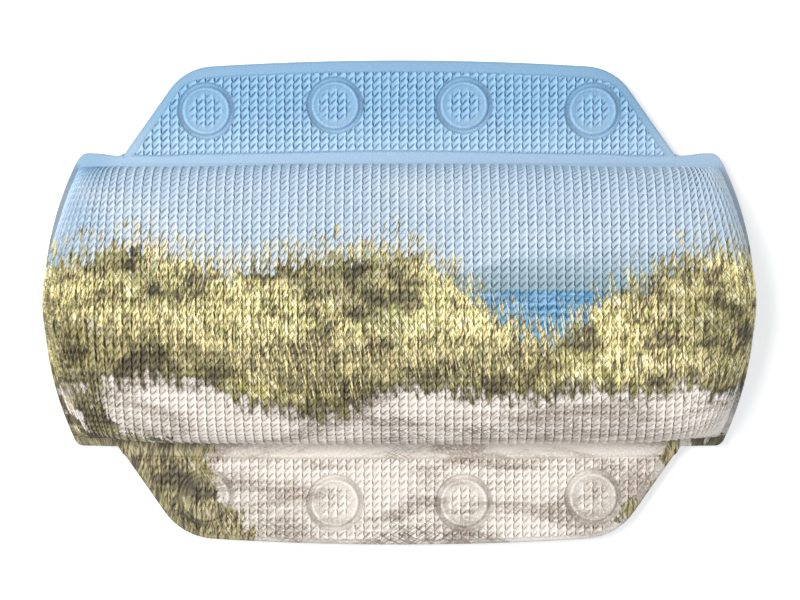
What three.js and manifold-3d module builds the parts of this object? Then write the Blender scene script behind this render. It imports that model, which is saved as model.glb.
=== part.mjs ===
// Bath neck pillow: a foam-filled cushion between two flaps, with suction cups trapped in the flaps.
// Lengths are in millimetres. X runs along the pillow, +Y towards its upper flap and +Z out of its printed front.
// The origin is on the plane of the suction cups' lips, below the middle of the cushion.
import * as THREE from 'three';
import * as BufferGeometryUtils from 'three/addons/utils/BufferGeometryUtils.js';
import Module from 'manifold-3d';

const wasm = await Module();
wasm.setup();

// Plan of the whole pillow
const overall_length = 320;
const overall_depth = 220;

// Cushion: its sides in plan, its crown and the weld round it
const cushion_half_depth = 62.6;
const cushion_corner_radius = 6;
const crown_height = 45;
const end_bow = 14.3;
const end_bulge = 2.5;
const end_weld_width = 3;
const ear_weld_width = 3.9;
const ear_corner_radius = 4.5;

// Sheets of foamed vinyl: the front one is thinner where a weld has pressed it
const back_sheet = 1.3;
const front_sheet = 2.9;
const welded_front_sheet = 2;

// Embossing of the crown: the grooves between its columns of tiles. The solid has one groove in a few.
const emboss_column_width = 4;
const emboss_groove_width = 1.2;
const emboss_groove_depth = 0.7;
const emboss_foot_height = 3;
const emboss_plain_end = 42;
const columns_per_groove = 4;

// Smooth weld band between the cushion and a flap, which folds along its middle
const weld_band_width = 5.2;
const fold_clearance = 0.3;
const notch_clearance = 0.4;

// Flap: its root is shorter than the pillow, its sides slant and its outer edge is slightly arched
const flap_root_inset = 34.5;
const flap_root_height = 1.5;
const flap_side_angle = THREE.MathUtils.degToRad(35);
const flap_corner_radius = 25;
const flap_arch_radius = 1365;
const flap_border = 5.4;
const flap_field_ramp = 1.2;
const flap_field_round = 4;

// Suction cups, four to a flap, and the ring weld round each one's trapped flange
const cups_per_flap = 4;
const cup_edge_distance = 19.4;
const cup_side_distance = 18.8;
const cup_stand = 9.5;
const cup_lip_radius = 17.2;
const cup_lip_width = 1.8;
const cup_lip_height = 0.7;
const cup_wall = 1.7;
const cup_boss_radius = 7.2;
const cup_boss_chamfer = 0.8;
const cup_dome_bulge = 2.2;
const cup_neck_radius = 4.3;
const cup_flange_radius = 9.6;
const cup_flange_thickness = 1.2;
const cup_flange_round = 0.35;
const cup_play = 0.3;
const neck_hole_radius = 4.8;
const pocket_radius = 10;
const pocket_skin = 1.5;
const ring_inner_radius = 10.7;
const ring_outer_radius = 12.7;
const ring_depth = 1.1;
const ring_edge_round = 0.6;

// Foam block inside the cushion
const core_clearance = 0.4;

// Far enough past a face for a cut to go through it
const overrun = 1;

// How finely the round shapes are cut into facets
const superellipse_power = 4;
const crown_rings = 8;
const end_arc_steps = 6;
const corner_arc_steps = 4;
const long_side_steps = 5;
const flap_corner_steps = 7;
const flap_arch_steps = 8;
const nose_steps = 5;
const cup_facets = 20;
const dome_steps = 4;
const ring_facets = 24;

// Heights that follow from the sheets
const back_level = cup_stand;
const parting_level = back_level + back_sheet;
const weld_level = parting_level + welded_front_sheet;
const field_level = parting_level + front_sheet;
const crown_level = weld_level + crown_height;
const pocket_level = parting_level + cup_flange_thickness + 2 * cup_play;
const pocket_top_level = pocket_level + pocket_skin;

// The fold's axis lies midway through the welded sheets, and the flap's inner edge is round about it
const fold_radius = (weld_level - back_level) / 2;
const fold_level = back_level + fold_radius;
const fold_half_depth = cushion_half_depth + weld_band_width / 2;
const flange_half_depth = fold_half_depth - fold_radius - fold_clearance;

// Places in plan that follow from the cushion and the whole pillow
const half_length = overall_length / 2;
const half_depth = overall_depth / 2;
const ear_half_depth = cushion_half_depth + ear_weld_width;
const flap_root_half_width = half_length - flap_root_inset;
const flap_notch_half_depth = fold_half_depth + flap_root_height;
const flap_field_half_depth = cushion_half_depth + weld_band_width;

const materials = {
  printed_sheet: new THREE.MeshStandardMaterial({ color: 0x9fb7b9, roughness: 0.62, metalness: 0 }),
  back_sheet: new THREE.MeshStandardMaterial({ color: 0xe9ebe8, roughness: 0.7, metalness: 0 }),
  foam: new THREE.MeshStandardMaterial({ color: 0xe8dfb8, roughness: 0.95, metalness: 0 }),
  soft_vinyl: new THREE.MeshStandardMaterial({ color: 0xdfe6e8, roughness: 0.25, metalness: 0 }),
};

function toSolid(geometry) {
  const bare = geometry.clone();
  bare.deleteAttribute('normal');
  bare.deleteAttribute('uv');
  const merged = BufferGeometryUtils.mergeVertices(bare);
  const corners = Array.from(merged.index.array);
  const faces = [];
  for (let i = 0; i < corners.length; i += 3) {
    const [a, b, c] = corners.slice(i, i + 3);
    if (a !== b && b !== c && c !== a) faces.push(a, b, c);
  }
  return new wasm.Manifold(new wasm.Mesh({
    numProp: 3,
    vertProperties: new Float32Array(merged.attributes.position.array),
    triVerts: new Uint32Array(faces),
  }));
}

function toGeometry(solid) {
  const mesh = solid.getMesh();
  const geometry = new THREE.BufferGeometry();
  geometry.setAttribute('position', new THREE.BufferAttribute(new Float32Array(mesh.vertProperties), 3));
  geometry.setIndex(new THREE.BufferAttribute(new Uint32Array(mesh.triVerts), 1));
  return geometry;
}

function arc(centre, radius, start, end, steps) {
  const points = [];
  for (let i = 0; i <= steps; i += 1) {
    const angle = start + (end - start) * i / steps;
    points.push(new THREE.Vector2(
      centre.x + radius * Math.cos(angle),
      centre.y + radius * Math.sin(angle),
    ));
  }
  return points;
}

// The four-fold symmetric outline whose first quarter runs from the X axis to the Y axis.
function outlineFromQuarter(quarter) {
  const flipped = (points, x, y) => points.map((p) => new THREE.Vector2(p.x * x, p.y * y));
  const back = [...quarter].reverse();
  const all = [...quarter, ...flipped(back, -1, 1), ...flipped(quarter, -1, -1), ...flipped(back, 1, -1)];
  return all.filter((p, i) => p.distanceTo(all[(i + all.length - 1) % all.length]) > overrun / 1000);
}

function prism(outline, bottom, top) {
  const shape = new THREE.Shape(outline);
  const geometry = new THREE.ExtrudeGeometry(shape, { depth: top - bottom, bevelEnabled: false });
  geometry.translate(0, 0, bottom);
  return toSolid(geometry);
}

function turned(profile, facets) {
  const geometry = new THREE.LatheGeometry(profile, facets);
  geometry.rotateX(Math.PI / 2);
  return geometry;
}

// Cushion end: an arc that bows out from the corners, moved in by an inset
function endArc(inset) {
  const bow_radius = (ear_half_depth ** 2 + end_bow ** 2) / (2 * end_bow);
  return { centre: new THREE.Vector2(half_length - bow_radius, 0), radius: bow_radius - inset };
}

// A quarter's end arc and the round corner that joins it to a straight side at side_depth
function endAndCorner(inset, side_depth, corner_radius) {
  const end = endArc(inset);
  const reach = end.radius - corner_radius;
  const corner_y = side_depth - corner_radius;
  const corner = new THREE.Vector2(end.centre.x + Math.sqrt(reach ** 2 - corner_y ** 2), corner_y);
  const joint_angle = Math.atan2(corner.y - end.centre.y, corner.x - end.centre.x);
  return [
    ...arc(end.centre, end.radius, 0, joint_angle, end_arc_steps),
    ...arc(corner, corner_radius, joint_angle, Math.PI / 2, corner_arc_steps).slice(1),
  ];
}

function flangeOutline() {
  const ear_inner = flap_root_half_width + notch_clearance;
  return outlineFromQuarter([
    ...endAndCorner(0, ear_half_depth, ear_corner_radius),
    new THREE.Vector2(ear_inner, ear_half_depth),
    new THREE.Vector2(ear_inner, flange_half_depth),
    new THREE.Vector2(0, flange_half_depth),
  ]);
}

function crownOutline(inset) {
  const side_depth = cushion_half_depth - inset;
  const quarter = endAndCorner(end_weld_width + inset, side_depth, cushion_corner_radius - inset);
  const corner_end = quarter[quarter.length - 1].x;
  for (let i = 1; i <= long_side_steps; i += 1) {
    quarter.push(new THREE.Vector2(corner_end * (1 - i / long_side_steps), side_depth));
  }
  return outlineFromQuarter(quarter);
}

// A closed solid through rings of as many points each, one above the other
function loft(rings, levels) {
  const positions = [];
  const faces = [];
  const count = rings[0].length;
  rings.forEach((ring, i) => ring.forEach((p) => positions.push(p.x, p.y, levels[i])));
  for (let i = 0; i + 1 < rings.length; i += 1) {
    for (let j = 0; j < count; j += 1) {
      const a = i * count + j;
      const b = i * count + (j + 1) % count;
      faces.push(a, b, b + count, a, b + count, a + count);
    }
  }
  const last = (rings.length - 1) * count;
  for (const [a, b, c] of THREE.ShapeUtils.triangulateShape(rings[0], [])) faces.push(a, c, b);
  for (const [a, b, c] of THREE.ShapeUtils.triangulateShape(rings[rings.length - 1], [])) {
    faces.push(last + a, last + b, last + c);
  }
  const geometry = new THREE.BufferGeometry();
  geometry.setAttribute('position', new THREE.BufferAttribute(new Float32Array(positions), 3));
  geometry.setIndex(faces);
  return toSolid(geometry);
}

// The flat-topped cushion: steep walls that roll over into a plateau, as a superellipse does.
// Each ring is drawn in as far at the ends as at the long sides, and the end walls bulge at half height.
function crown(inset, bottom) {
  const foot = crownOutline(inset);
  const foot_depth = cushion_half_depth - inset;
  const foot_length = Math.max(...foot.map((p) => p.x));
  const rise = crown_height - inset;
  const rings = [foot];
  const levels = [bottom];
  const last_angle = Math.PI / 2 * (1 - 1 / (crown_rings + 1));
  const top_share = Math.sin(last_angle) ** (2 / superellipse_power);
  for (let i = 0; i <= crown_rings; i += 1) {
    const angle = last_angle * i / crown_rings;
    const out_share = Math.cos(angle) ** (2 / superellipse_power);
    const up_share = Math.sin(angle) ** (2 / superellipse_power) / top_share;
    const drawn_in = foot_depth * (1 - out_share);
    const length_share = (foot_length - drawn_in) / foot_length;
    const bulge_share = Math.sin(Math.PI * up_share) * end_bulge / foot_length;
    rings.push(foot.map((p) => {
      const middle_share = 1 - (p.y / foot_depth) ** 2;
      return new THREE.Vector2(p.x * (length_share + bulge_share * middle_share), p.y * out_share);
    }));
    levels.push(weld_level + rise * up_share);
  }
  return loft(rings, levels);
}

// Straight slots across the crown, less the crown as it is at their bottoms
function embossGrooves() {
  const spacing = emboss_column_width * columns_per_groove;
  const reach = half_length - emboss_plain_end;
  const half_width = emboss_groove_width / 2;
  const half_slot = cushion_half_depth + overrun;
  const slots = [];
  for (let i = -Math.floor(reach / spacing); i <= reach / spacing; i += 1) {
    const outline = [
      new THREE.Vector2(i * spacing - half_width, -half_slot),
      new THREE.Vector2(i * spacing + half_width, -half_slot),
      new THREE.Vector2(i * spacing + half_width, half_slot),
      new THREE.Vector2(i * spacing - half_width, half_slot),
    ];
    slots.push(prism(outline, weld_level + emboss_foot_height, crown_level + overrun));
  }
  return wasm.Manifold.union(slots).subtract(crown(emboss_groove_depth, parting_level));
}

function frontCover() {
  const flange = prism(flangeOutline(), parting_level, weld_level);
  const hollow = crown(front_sheet, parting_level - overrun);
  return flange.add(crown(0, parting_level)).subtract(embossGrooves()).subtract(hollow);
}

// The flap's slanted side runs from the notch, and its outer edge is an arc about arch_centre.
const flap_side = new THREE.Vector2(-Math.sin(flap_side_angle), Math.cos(flap_side_angle));
const flap_inward = new THREE.Vector2(-Math.cos(flap_side_angle), -Math.sin(flap_side_angle));
const flap_notch = new THREE.Vector2(flap_root_half_width, flap_notch_half_depth);
const arch_centre = new THREE.Vector2(0, half_depth - flap_arch_radius);

// The point near the flap's corner at given distances from its slanted side and its outer edge
function pointFromEdges(from_side, from_edge) {
  const start = flap_notch.clone().addScaledVector(flap_inward, from_side).sub(arch_centre);
  const along = start.dot(flap_side);
  const reach = flap_arch_radius - from_edge;
  const travel = -along + Math.sqrt(along ** 2 - start.lengthSq() + reach ** 2);
  return start.addScaledVector(flap_side, travel).add(arch_centre);
}

// Flap plan, moved in by an inset. The corner keeps its centre, so every inset is parallel.
function flapOutline(inset, root) {
  const corner = pointFromEdges(flap_corner_radius, flap_corner_radius);
  const side_angle = Math.atan2(-flap_inward.y, -flap_inward.x);
  const arch_angle = Math.atan2(corner.y - arch_centre.y, corner.x - arch_centre.x);
  const half = [
    ...root,
    ...arc(corner, flap_corner_radius - inset, side_angle, arch_angle, flap_corner_steps),
    ...arc(arch_centre, flap_arch_radius - inset, arch_angle, Math.PI / 2, flap_arch_steps / 2).slice(1),
  ];
  const other = half.slice(0, -1).reverse().map((p) => new THREE.Vector2(-p.x, p.y));
  return [...half, ...other];
}

function flapEdge() {
  return flapOutline(0, [
    new THREE.Vector2(flap_root_half_width, fold_half_depth - fold_radius - overrun),
    flap_notch,
  ]);
}

// Outline of the raised field, whose inner corners are cut round by a few points
function fieldEdge() {
  const slope = Math.tan(flap_side_angle);
  const drop = flap_field_half_depth - flap_notch_half_depth;
  const corner_x = flap_root_half_width - flap_border / Math.cos(flap_side_angle) - drop * slope;
  const corner = new THREE.Vector2(corner_x, flap_field_half_depth);
  const before = new THREE.Vector2(corner_x - flap_field_round, flap_field_half_depth);
  const after = new THREE.Vector2(
    corner_x - flap_field_round * Math.sin(flap_side_angle),
    flap_field_half_depth + flap_field_round * Math.cos(flap_side_angle),
  );
  const bend = new THREE.QuadraticBezierCurve(before, corner, after);
  return flapOutline(flap_border, bend.getPoints(corner_arc_steps));
}

// Slab between two levels whose inner edge follows the circle about the fold's axis, cut to the flap's plan
function flapSheet(bottom, top) {
  const axis = new THREE.Vector2(fold_half_depth, fold_level);
  const angleAt = (level) => Math.PI - Math.asin((level - fold_level) / fold_radius);
  const section = [
    ...arc(axis, fold_radius, angleAt(top), angleAt(bottom), nose_steps),
    new THREE.Vector2(half_depth + overrun, bottom),
    new THREE.Vector2(half_depth + overrun, top),
  ];
  const slab = new THREE.ExtrudeGeometry(new THREE.Shape(section), {
    depth: 2 * half_length,
    bevelEnabled: false,
  });
  slab.translate(0, 0, -half_length);
  slab.applyMatrix4(new THREE.Matrix4().makeBasis(
    new THREE.Vector3(0, 1, 0),
    new THREE.Vector3(0, 0, 1),
    new THREE.Vector3(1, 0, 0),
  ));
  return toSolid(slab).intersect(prism(flapEdge(), bottom - overrun, top + overrun));
}

// Middles of the suction cups: evenly spaced, all at one distance from the arched outer edge
function cupPlaces() {
  const reach = flap_arch_radius - cup_edge_distance;
  const outer = pointFromEdges(cup_side_distance, cup_edge_distance);
  const places = [];
  for (let i = 0; i < cups_per_flap; i += 1) {
    const x = outer.x * (2 * i / (cups_per_flap - 1) - 1);
    places.push(new THREE.Vector2(x, arch_centre.y + Math.sqrt(reach ** 2 - x ** 2)));
  }
  return places;
}

function raisedField() {
  const ramp_height = field_level - weld_level;
  const bottom = (parting_level + weld_level) / 2 - ramp_height;
  const geometry = new THREE.ExtrudeGeometry(new THREE.Shape(fieldEdge()), {
    depth: weld_level - bottom - ramp_height,
    bevelEnabled: true,
    bevelThickness: ramp_height,
    bevelSize: flap_field_ramp,
    bevelOffset: -flap_field_ramp,
    bevelSegments: 1,
  });
  geometry.translate(0, 0, bottom + ramp_height);
  return toSolid(geometry);
}

function ring(inner, outer, bottom, top) {
  const profile = [
    new THREE.Vector2(inner, bottom),
    new THREE.Vector2(outer, bottom),
    new THREE.Vector2(outer, top),
    new THREE.Vector2(inner, top),
    new THREE.Vector2(inner, bottom),
  ];
  return turned(profile, ring_facets);
}

function disc(radius, bottom, top, round) {
  const profile = [
    new THREE.Vector2(0, bottom),
    new THREE.Vector2(radius, bottom),
    new THREE.Vector2(radius, top - round),
    new THREE.Vector2(radius - round, top),
    new THREE.Vector2(0, top),
  ];
  return turned(profile, ring_facets);
}

function flapFront() {
  const seats = cupPlaces();
  const at = (geometry, place) => toSolid(geometry.clone().translate(place.x, place.y, 0));
  const raised_disc = disc(ring_inner_radius, parting_level, pocket_top_level, ring_edge_round);
  const groove = ring(ring_inner_radius, ring_outer_radius, field_level - ring_depth, field_level + overrun);
  const pocket = disc(pocket_radius, parting_level - overrun, pocket_level, cup_flange_round);
  let sheet = flapSheet(parting_level, weld_level).add(raisedField());
  for (const place of seats) {
    sheet = sheet.subtract(at(groove, place)).add(at(raised_disc, place)).subtract(at(pocket, place));
  }
  return sheet;
}

function flapBack() {
  const hole = disc(neck_hole_radius, back_level - overrun, parting_level + overrun, 0);
  let sheet = flapSheet(back_level, parting_level);
  for (const place of cupPlaces()) {
    sheet = sheet.subtract(toSolid(hole.clone().translate(place.x, place.y, 0)));
  }
  return sheet;
}

// One soft moulding: flange, neck, boss and a dome that flares to a flat lip
function suctionCup() {
  const flange_bottom = parting_level + cup_play;
  const flange_top = flange_bottom + cup_flange_thickness;
  const boss_top = back_level - cup_play;
  const dome_foot = new THREE.Vector2(cup_boss_radius + cup_boss_chamfer, boss_top - cup_boss_chamfer);
  const lip_top = new THREE.Vector2(cup_lip_radius, cup_lip_height);
  const hollow_lip = new THREE.Vector2(cup_lip_radius - cup_lip_width, 0);
  const hollow_top = new THREE.Vector2(cup_neck_radius, dome_foot.y - cup_wall);
  const bulged = (a, b, bulge) => {
    const across = new THREE.Vector2(Math.abs(b.y - a.y), Math.abs(b.x - a.x)).normalize();
    const middle = a.clone().add(b).divideScalar(2).addScaledVector(across, bulge);
    return new THREE.QuadraticBezierCurve(a, middle, b).getPoints(dome_steps);
  };
  const profile = [
    new THREE.Vector2(0, hollow_top.y),
    ...bulged(hollow_lip, hollow_top, cup_dome_bulge).reverse(),
    new THREE.Vector2(cup_lip_radius, 0),
    ...bulged(dome_foot, lip_top, cup_dome_bulge).reverse(),
    new THREE.Vector2(cup_boss_radius, boss_top),
    new THREE.Vector2(cup_neck_radius, boss_top),
    new THREE.Vector2(cup_neck_radius, flange_bottom),
    new THREE.Vector2(cup_flange_radius, flange_bottom),
    new THREE.Vector2(cup_flange_radius, flange_top - cup_flange_round),
    new THREE.Vector2(cup_flange_radius - cup_flange_round, flange_top),
    new THREE.Vector2(0, flange_top),
  ];
  return turned(profile, cup_facets);
}

function piece(name, geometry, material) {
  const mesh = new THREE.Mesh(geometry, material);
  mesh.name = name;
  return mesh;
}

function cushion() {
  const group = new THREE.Group();
  const back = prism(flangeOutline(), back_level, parting_level);
  const core = crown(front_sheet + core_clearance, parting_level);
  group.add(
    piece('cushion_front_cover', toGeometry(frontCover()), materials.printed_sheet),
    piece('cushion_back_cover', toGeometry(back), materials.back_sheet),
    piece('foam_core', toGeometry(core), materials.foam),
  );
  return group;
}

function flap(name, front, back, cup) {
  const group = new THREE.Group();
  group.add(
    piece(`${name}_flap_front_sheet`, front, materials.printed_sheet),
    piece(`${name}_flap_back_sheet`, back, materials.back_sheet),
  );
  cupPlaces().forEach((place, i) => {
    const mesh = piece(`${name}_suction_cup_${i + 1}`, cup, materials.soft_vinyl);
    mesh.position.set(place.x, place.y, 0);
    group.add(mesh);
  });
  return group;
}

const pillow = new THREE.Group();
const flap_front = toGeometry(flapFront());
const flap_back = toGeometry(flapBack());
const suction_cup = suctionCup();
const upper_flap = flap('upper', flap_front, flap_back, suction_cup);
const lower_flap = flap('lower', flap_front, flap_back, suction_cup);
lower_flap.rotation.z = Math.PI;
pillow.add(cushion(), upper_flap, lower_flap);

export default pillow;
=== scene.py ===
"""A bath pillow of printed and embossed foam vinyl, with a foam cushion, two flaps and eight suction cups.

Laid out as a Blender add-on and run as a script. Lengths are in metres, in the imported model's own frame:
X along the pillow, Y across it and Z away from the wall that the cups hold to.
"""

import math

import bmesh
import bpy
import numpy as np
from mathutils import Matrix, Vector
from mathutils.kdtree import KDTree


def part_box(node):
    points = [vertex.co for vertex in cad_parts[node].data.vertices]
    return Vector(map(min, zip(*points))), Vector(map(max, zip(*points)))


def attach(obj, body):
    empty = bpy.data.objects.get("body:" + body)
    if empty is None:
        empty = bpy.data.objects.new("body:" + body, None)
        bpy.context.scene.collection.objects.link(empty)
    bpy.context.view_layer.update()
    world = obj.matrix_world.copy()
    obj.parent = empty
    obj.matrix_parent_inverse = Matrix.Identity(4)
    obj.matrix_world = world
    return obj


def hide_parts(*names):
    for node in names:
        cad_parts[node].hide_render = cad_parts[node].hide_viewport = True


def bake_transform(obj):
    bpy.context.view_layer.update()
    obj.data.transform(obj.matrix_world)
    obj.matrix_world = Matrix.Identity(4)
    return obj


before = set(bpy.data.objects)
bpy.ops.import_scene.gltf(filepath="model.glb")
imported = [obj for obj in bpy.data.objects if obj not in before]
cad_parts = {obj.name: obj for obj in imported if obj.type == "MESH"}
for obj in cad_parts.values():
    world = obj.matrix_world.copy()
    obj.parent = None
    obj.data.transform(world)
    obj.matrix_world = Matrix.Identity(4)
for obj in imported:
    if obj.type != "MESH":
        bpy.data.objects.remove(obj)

bl_info = {
    "name": "Bath pillow",
    "version": (1, 0, 0),
    "blender": (4, 5, 0),
    "location": "3D View > Sidebar > Bath pillow",
    "description": "Builds a bath pillow with an embossed, printed front and suction cups",
    "category": "Add Mesh",
}

MM = 0.001
COVER_HIGH = Vector(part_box("cushion_front_cover")[1])
FLAP_HIGH = Vector(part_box("upper_flap_front_sheet")[1])
SIDES = {"upper": 1, "lower": -1}
CUPS_PER_FLAP = 4


# Sizes and colours that a user may change


def in_mm(name, description, millimetres):
    """A length, with its default given in millimetres"""
    return bpy.props.FloatProperty(
        name=name, description=description, default=millimetres * MM, min=0, precision=5, unit="LENGTH"
    )


def colour_property(name, description, default):
    """A linear colour"""
    return bpy.props.FloatVectorProperty(
        name=name, description=description, default=default, size=3, min=0, max=1, subtype="COLOR"
    )


class PillowSizes(bpy.types.PropertyGroup):
    """Lengths of the pillow"""

    front_sheet: in_mm("Front sheet", "Thickness of the foamed front sheet", 2.9)
    cushion_half_depth: in_mm("Half depth", "From the middle to the cushion's foot", 62.6)
    end_weld: in_mm("End weld", "Width of the weld at the cushion's ends", 3.0)
    end_bulge: in_mm("End bulge", "How far an end stands out or leans back over its weld", 2.8)
    ear_depth: in_mm("Ear depth", "From the middle to the upper ears' edge", 66.5)
    lower_ear_depth: in_mm("Lower ear depth", "From the middle to the lower ears' edge", 65.4)
    tile_width: in_mm("Tile width", "Width of one embossed tile", 4.0)
    tile_length: in_mm("Tile length", "Length of one embossed tile", 3.35)
    relief: in_mm("Relief", "Height of a tile's ridge over its groove", 0.85)
    flap_root: in_mm("Flap root", "Half width of a flap at its fold", 125.5)
    flap_notch: in_mm("Flap notch", "From the middle to where the upper flap's side starts", 66.7)
    lower_flap_notch: in_mm("Lower flap notch", "The same on the lower flap", 68.3)
    flap_corner: in_mm("Flap corner", "Radius of the upper flap's outer corners", 25.0)
    lower_flap_corner: in_mm("Lower flap corner", "The same on the lower flap", 29.0)
    flap_arch: in_mm("Flap arch", "Radius of a flap's outer edge", 1365)
    flap_border: in_mm("Flap border", "Width of the smooth edge along the upper flap's outer side", 4.9)
    lower_flap_border: in_mm("Lower flap border", "The same along the lower flap's outer side", 1.7)
    flap_side_border: in_mm("Side border", "Width of the smooth edge at a flap's ends", 3.4)
    field_start: in_mm("Field start", "From the middle to the upper flap's raised field", 68.5)
    lower_field_start: in_mm("Lower field start", "The same on the lower flap", 70.4)
    ring_inner: in_mm("Ring, inner", "Inner radius of a ring weld", 10.8)
    ring_outer: in_mm("Ring, outer", "Outer radius of a ring weld", 13.0)
    ring_depth: in_mm("Ring depth", "Depth of a ring weld", 1.3)


class PillowColours(bpy.types.PropertyGroup):
    """Colours of the print, the back sheet and the cups"""

    high_sky: colour_property("High sky", "Sky at the upper edge", (0.250, 0.455, 0.665))
    middle_sky: colour_property("Middle sky", "Sky at the upper weld", (0.425, 0.590, 0.750))
    low_sky: colour_property("Low sky", "Sky over the horizon", (0.475, 0.585, 0.700))
    cloud: colour_property("Cloud", "Thin clouds", (0.665, 0.700, 0.745))
    far_hill: colour_property("Far hills", "Hills on the horizon", (0.230, 0.350, 0.400))
    water: colour_property("Water", "Lake below the hills", (0.090, 0.250, 0.420))
    shade: colour_property("Shade", "Dark gaps in the heath", (0.070, 0.056, 0.030))
    leaf: colour_property("Leaf", "Green of the heath", (0.330, 0.300, 0.090))
    straw: colour_property("Straw", "Dry sprigs", (0.780, 0.655, 0.325))
    sand: colour_property("Sand", "Pale sand", (0.800, 0.735, 0.665))
    wet_sand: colour_property("Wet sand", "Darker sand between ripples", (0.400, 0.330, 0.270))
    back_vinyl: colour_property("Back sheet", "Plain sheet at the back", (0.800, 0.810, 0.800))
    cup_vinyl: colour_property("Cups", "Clear soft vinyl", (0.860, 0.910, 0.930))
    foam: colour_property("Foam", "Open-cell foam", (0.720, 0.690, 0.560))


# Levels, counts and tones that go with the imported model

WELD_LEVEL = 12.8 * MM  # top of the welded front sheet
BOTTOM, PARTING = (corner[2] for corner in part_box("cushion_back_cover"))  # the back sheet's two faces
FIELD_LEVEL = 13.7 * MM  # middle of a flap's raised field
SECTION_POWER = 4  # the cushion's section is a superellipse of this power
STEPS_ACROSS = 10  # grid steps across one tile
STEPS_ALONG = 8  # grid steps along one tile
COARSE = (94, 56)  # squares along and across of the coarse grids over the cushion
SETTLE_CAP = 1.5 * MM  # no point of the cushion's sheet settles further than this
SETTLE_FRAMES = 20  # frames of the simulation
MIDDLE_SHADING = 0.7  # painted shading of the embossing on the whole
WELD_SHADING = 0.62  # painted shading of the smooth welds, which neither darkens nor lightens them
LOWER_PAINTED_LIGHT = 0.14  # painted light that makes the lower weld band lighter
FLAP_SHADING_STRENGTH = {1: 1.15, -1: 0.85}  # strength of the tiles' painted shade and highlight on the upper and the lower flap
BAND = np.array([0, 0.15, 0.35, 0.55, 0.75, 0.88, 0.96, 1, 1])  # rows over the weld, as shares of its width
BAND_DROP = np.array([0, 0, 0, 0, 0, 0.05, 0.2, 0.6, 2.0]) * MM  # how the weld's outer edge rounds off
LEAN_START = 120 * MM  # the columns lean with the end from here
LEAN_END = 158 * MM
END_OVER = 1.7 * MM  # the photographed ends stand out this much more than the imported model's
END_BOW = 16.0 * MM  # how far an end bows between its corners
SPLIT = 62.95 * MM  # the sheets of cushion and flap part here, on the weld just outside the cushion's foot
CUSHION_EDGE = SPLIT - 0.03 * MM  # the two keep this much apart
FLAP_EDGE = SPLIT + 0.03 * MM
FOLD_START = 63.4 * MM  # the flaps' sheets are cut across for a fold from here
FOLD_END = 67.0 * MM
FOLD_CUTS = 9  # cuts through the flat faces between the two
FLAP_SLANT = math.radians(35)  # how far a flap's sides lean inwards
NOTCH_ROUND = 0.7 * MM  # how far the round of a notch runs up a flap's side
NOTCH_REACH = 3 * MM  # and how far along the ear's edge
EAR_RISE = (1.4 * MM, -0.3 * MM)  # how much further out an upper or lower ear's edge ends than it starts
EAR_RUN = 20 * MM  # the length over which it does so
WELD_SLOPE = 1.3 * MM  # fall of the welds at the ends towards their outer edge
PRINTED_WELD = 4 * MM  # length of print on the welds at the sides
EAR_CORNER = 4.5 * MM  # radius of the back sheet's corners
FOOT_CORNER = 4 * MM  # radius of the weld line's corners
RING_MOVE = {1: -0.8 * MM, -1: 0.6 * MM}  # how far the rings sit off the cups' centres, outwards
RING_STEPS = 48  # segments of a circle
POCKET_RADIUS = 10 * MM  # room for a cup's flange
POCKET_DEPTH = 1.8 * MM
RING_MARGIN = 0.3 * MM  # a ring shows this far beyond its outer radius
HAIR = 0.03 * MM  # rim points that lie closer are merged
SHARP = math.radians(70)  # steeper edges are shaded sharp
BACK_RING = (  # radius and lift in millimetres, from the ring pressed into the back sheet to its hole
    (12.5, 0.35), (10.9, 0.35), (10.4, 0), (6.4, 0), (5.6, -0.15), (4.8, 0.1),
)
BACK_WELD = ((0.3, 0), (0.9, 0.4), (2.3, 0.4), (2.9, 0))  # the same of the cushion's weld line, from outside


def smooth(value, low, high):
    """Smooth step from 0 at low to 1 at high"""
    share = np.clip((value - low) / (high - low), 0, 1)
    return share * share * (3 - 2 * share)


def link(name, mesh):
    """A new object of the scene"""
    piece = bpy.data.objects.new(name, mesh)
    bpy.context.scene.collection.objects.link(piece)
    return piece


def grid_mesh(name, columns, rows):
    """A grid of squares whose vertices are moved later, row after row"""
    bm = bmesh.new()
    bmesh.ops.create_grid(bm, x_segments=columns, y_segments=rows, size=1)
    mesh = bpy.data.meshes.new(name)
    bm.to_mesh(mesh)
    bm.free()
    return mesh


def set_points(mesh, points):
    """Moves all vertices of a mesh"""
    mesh.vertices.foreach_set("co", np.ascontiguousarray(points, np.float32).ravel())
    mesh.update()


def get_points(mesh):
    """All vertices of a mesh"""
    points = np.empty(len(mesh.vertices) * 3, np.float32)
    mesh.vertices.foreach_get("co", points)
    return points.reshape(-1, 3).astype(float)


def set_attribute(mesh, name, values):
    """A value or vector at each vertex, for the materials"""
    kind, field = ("FLOAT", "value") if values.ndim == 1 else ("FLOAT_VECTOR", "vector")
    attribute = mesh.attributes.new(name, kind, "POINT")
    attribute.data.foreach_set(field, np.ascontiguousarray(values, np.float32).ravel())


# The embossing


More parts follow.
